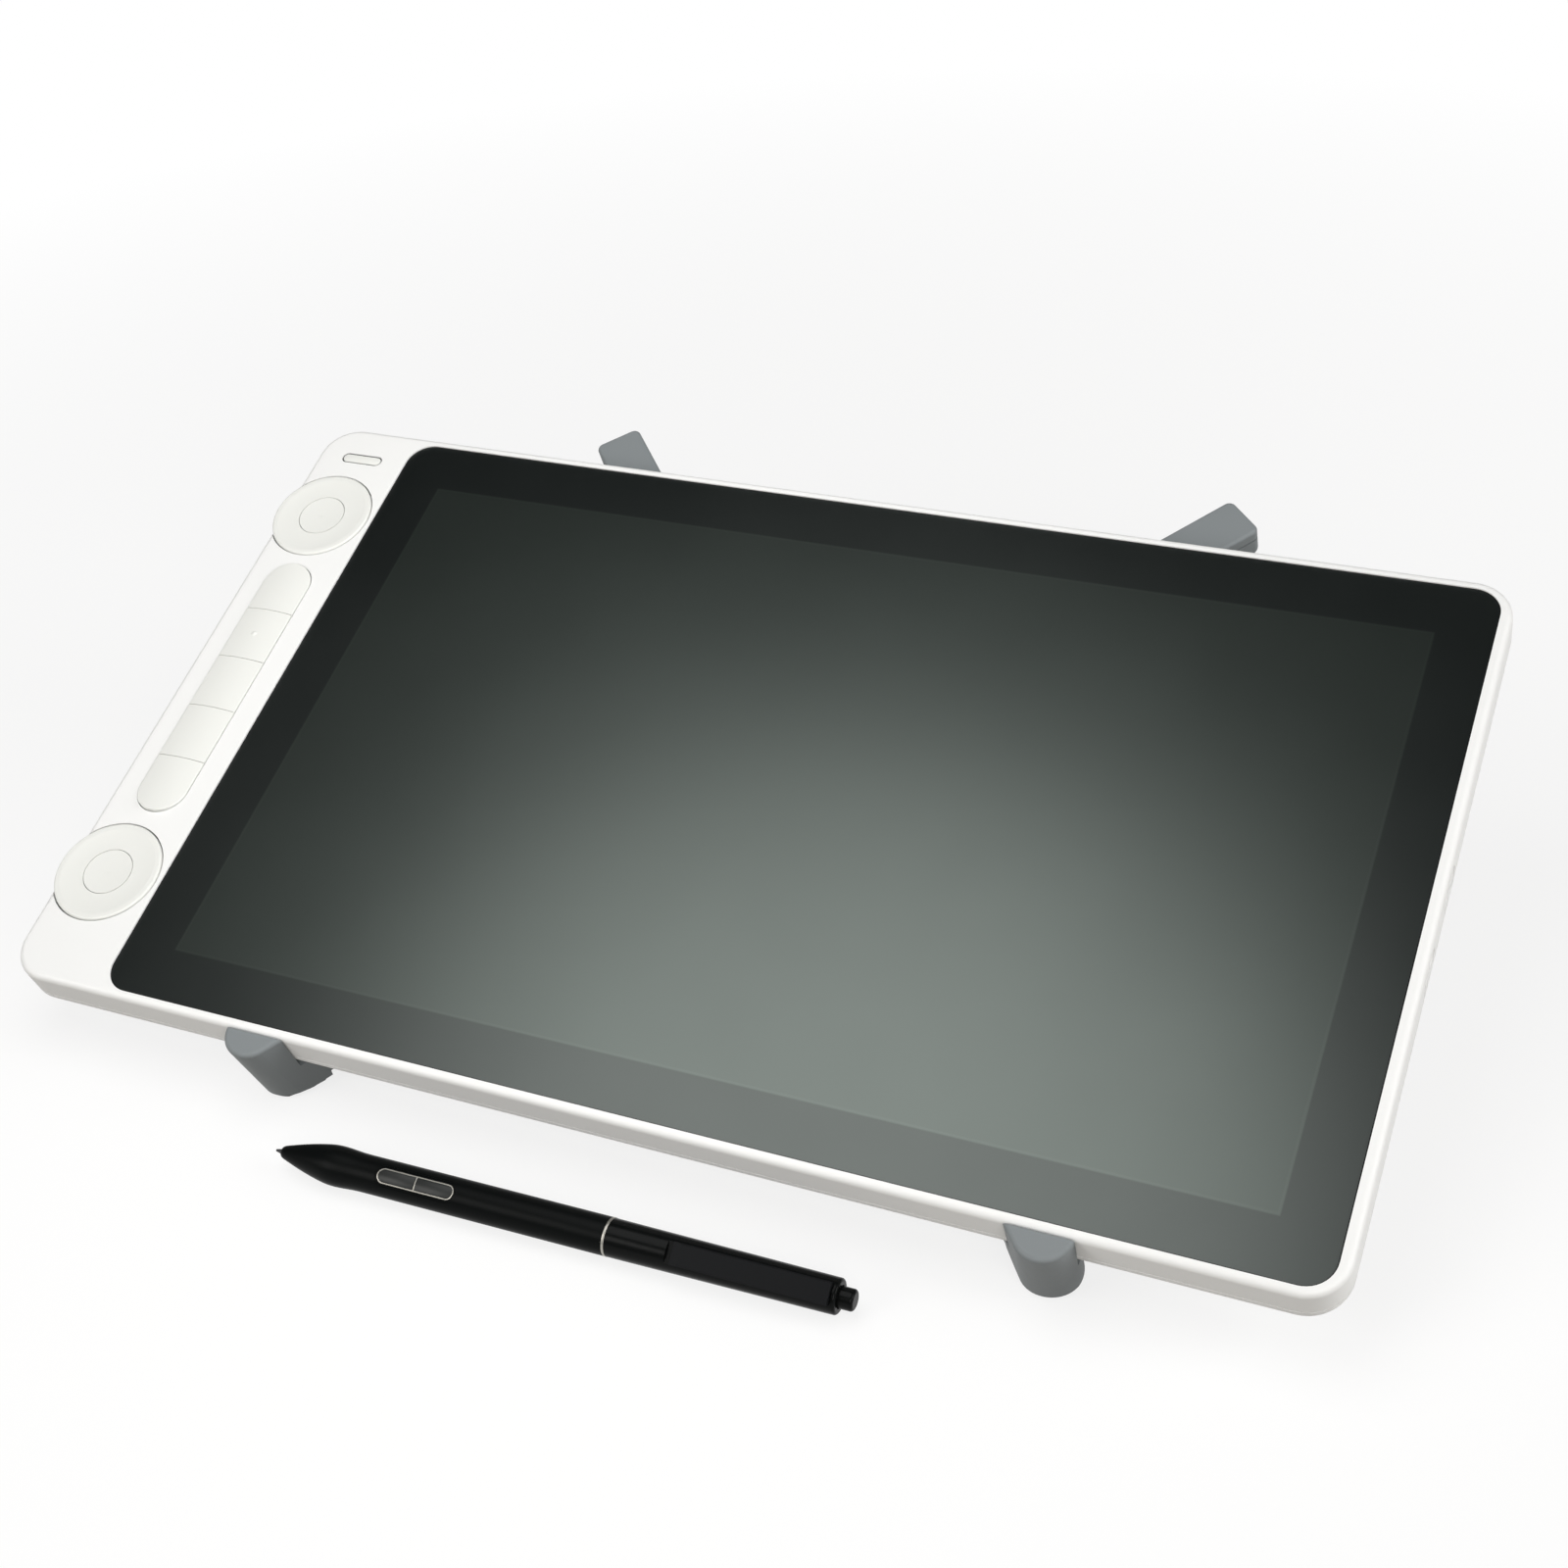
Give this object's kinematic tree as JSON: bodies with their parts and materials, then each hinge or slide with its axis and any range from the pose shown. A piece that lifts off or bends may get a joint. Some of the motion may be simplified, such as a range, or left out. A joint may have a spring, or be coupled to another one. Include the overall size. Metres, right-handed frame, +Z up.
{
  "type": "graphics tablet with screen",
  "caption": "Pen display tablet with dials and press keys, lying on a crossed folding stand, with its pen in front.",
  "frame": {"origin": "on the table, under the middle of the tablet, stand and pen together", "axes": "+X to the user's right along the tablet's long edge, +Y away from the user, +Z up"},
  "size_m": [0.3624, 0.2594, 0.0934],
  "materials": {
    "case_white": "fine matt",
    "key_white": "smooth satin",
    "screen_glass": "fine etched",
    "display_black": "smooth",
    "shield_steel": "rolled",
    "port_steel": "drawn",
    "screw_steel": "zinc plated",
    "board_green": "solder mask",
    "component_black": "moulded",
    "flex_amber": "film",
    "foot_rubber": "matt",
    "stand_grey": "fine matt",
    "stand_rubber": "matt",
    "pin_steel": "turned",
    "pen_matt_black": "soft matt",
    "pen_gloss_black": "gloss",
    "pen_clip_black": "satin",
    "pen_button_black": "satin gloss",
    "pen_silver": "polished",
    "nib_plastic": "hard",
    "coil_copper": "enamelled"
  },
  "bodies": {
    "stand": {"arm_a": "stand_grey", "arm_a_pads": "stand_rubber", "arm_a_sole": "stand_rubber", "pivot_pin": "pin_steel", "pivot_cap": "pin_steel", "leg_a_pin": "pin_steel"},
    "crossing_arm": {"arm_b": "stand_grey", "arm_b_pads": "stand_rubber", "arm_b_sole": "stand_rubber", "leg_b_pin": "pin_steel"},
    "rear_leg_a": {"leg_a": "stand_grey", "leg_a_foot": "stand_rubber"},
    "rear_leg_b": {"leg_b": "stand_grey", "leg_b_foot": "stand_rubber"},
    "tablet": {"front_housing": "case_white", "rear_cover": "case_white", "rear_feet": "foot_rubber", "cover_screws": "screw_steel", "cover_glass": "screen_glass", "display_panel": "display_black", "backlight_unit": "display_black", "pen_sensor_board": "board_green", "shield_plate": "shield_steel", "main_board": "board_green", "key_board": "board_green", "button_switches": "component_black", "dial_encoders": "component_black", "usb_c_ports": "port_steel", "display_flex": "flex_amber", "key_flex": "flex_amber"},
    "upper_dial": {"upper_dial": "key_white"},
    "lower_dial": {"lower_dial": "key_white"},
    "upper_dial_button": {"upper_dial_button": "key_white"},
    "lower_dial_button": {"lower_dial_button": "key_white"},
    "power_button": {"power_button": "key_white"},
    "express_key_1": {"express_key_1": "key_white"},
    "express_key_2": {"express_key_2": "key_white"},
    "express_key_3": {"express_key_3": "key_white"},
    "express_key_4": {"express_key_4": "key_white"},
    "express_key_5": {"express_key_5": "key_white"},
    "pen": {"pen_grip": "pen_matt_black", "pen_rear_barrel": "pen_gloss_black", "pen_ring": "pen_silver", "pen_clip": "pen_clip_black", "pen_button_frame": "pen_silver", "pen_core": "coil_copper"},
    "pen_nib": {"pen_nib": "nib_plastic"},
    "pen_side_button_front": {"pen_side_button_front": "pen_button_black"},
    "pen_side_button_rear": {"pen_side_button_rear": "pen_button_black"},
    "pen_end_button": {"pen_end_button": "pen_gloss_black"}
  },
  "joints": [
    {"name": "arm_scissor", "type": "hinge", "parent": "stand", "child": "crossing_arm", "pos_m": [0.00583, 0.01173, 0.04678], "axis": [0, -0.342, 0.9397], "range_deg": [-11, 0]},
    {"name": "leg_a_fold", "type": "hinge", "parent": "stand", "child": "rear_leg_a", "pos_m": [0.08543, 0.09667, 0.07557], "axis": [-0.7478, 0.6239, 0.2271], "range_deg": [0, 90]},
    {"name": "leg_b_fold", "type": "hinge", "parent": "crossing_arm", "child": "rear_leg_b", "pos_m": [-0.07533, 0.09535, 0.07509], "axis": [-0.7361, -0.6361, -0.2315], "range_deg": [0, 90]},
    {"name": "tablet_lift", "type": "slide", "parent": "stand", "child": "tablet", "axis": [0, 0, 1], "range_m": [0, 0.06]},
    {"name": "pen_lift", "type": "slide", "parent": "stand", "child": "pen", "axis": [0, 0, 1], "range_m": [0, 0.08]},
    {"name": "upper_dial_turn", "type": "hinge", "parent": "tablet", "child": "upper_dial", "pos_m": [-0.16542, 0.05245, 0.08139], "axis": [0, -0.342, 0.9397], "continuous": true},
    {"name": "upper_dial_press", "type": "slide", "parent": "tablet", "child": "upper_dial_button", "axis": [0, 0.342, -0.9397], "range_m": [0, 0.0005], "stiffness_N_per_m": 500, "springref_m": -0.0005},
    {"name": "lower_dial_turn", "type": "hinge", "parent": "tablet", "child": "lower_dial", "pos_m": [-0.16542, -0.07215, 0.03604], "axis": [0, -0.342, 0.9397], "continuous": true},
    {"name": "lower_dial_press", "type": "slide", "parent": "tablet", "child": "lower_dial_button", "axis": [0, 0.342, -0.9397], "range_m": [0, 0.0005], "stiffness_N_per_m": 500, "springref_m": -0.0005},
    {"name": "power_press", "type": "slide", "parent": "tablet", "child": "power_button", "axis": [0, 0.342, -0.9397], "range_m": [0, 0.0004], "stiffness_N_per_m": 600, "springref_m": -0.0005},
    {"name": "key_1_press", "type": "slide", "parent": "tablet", "child": "express_key_1", "axis": [0, 0.342, -0.9397], "range_m": [0, 0.0005], "stiffness_N_per_m": 600, "springref_m": -0.0005},
    {"name": "key_2_press", "type": "slide", "parent": "tablet", "child": "express_key_2", "axis": [0, 0.342, -0.9397], "range_m": [0, 0.0005], "stiffness_N_per_m": 600, "springref_m": -0.0005},
    {"name": "key_3_press", "type": "slide", "parent": "tablet", "child": "express_key_3", "axis": [0, 0.342, -0.9397], "range_m": [0, 0.0005], "stiffness_N_per_m": 600, "springref_m": -0.0005},
    {"name": "key_4_press", "type": "slide", "parent": "tablet", "child": "express_key_4", "axis": [0, 0.342, -0.9397], "range_m": [0, 0.0005], "stiffness_N_per_m": 600, "springref_m": -0.0005},
    {"name": "key_5_press", "type": "slide", "parent": "tablet", "child": "express_key_5", "axis": [0, 0.342, -0.9397], "range_m": [0, 0.0005], "stiffness_N_per_m": 600, "springref_m": -0.0005},
    {"name": "nib_press", "type": "slide", "parent": "pen", "child": "pen_nib", "axis": [0.9999, 0.0136, 0], "range_m": [0, 0.0008], "stiffness_N_per_m": 500, "springref_m": -0.0005},
    {"name": "front_side_button_press", "type": "slide", "parent": "pen", "child": "pen_side_button_front", "axis": [-0.0075, 0.5519, -0.8339], "range_m": [0, 0.0003], "stiffness_N_per_m": 500, "springref_m": -0.0005},
    {"name": "rear_side_button_press", "type": "slide", "parent": "pen", "child": "pen_side_button_rear", "axis": [-0.0075, 0.5519, -0.8339], "range_m": [0, 0.0003], "stiffness_N_per_m": 500, "springref_m": -0.0005},
    {"name": "end_button_press", "type": "slide", "parent": "pen", "child": "pen_end_button", "axis": [-0.9999, -0.0136, 0], "range_m": [0, 0.0008], "stiffness_N_per_m": 500, "springref_m": -0.0005}
  ]
}
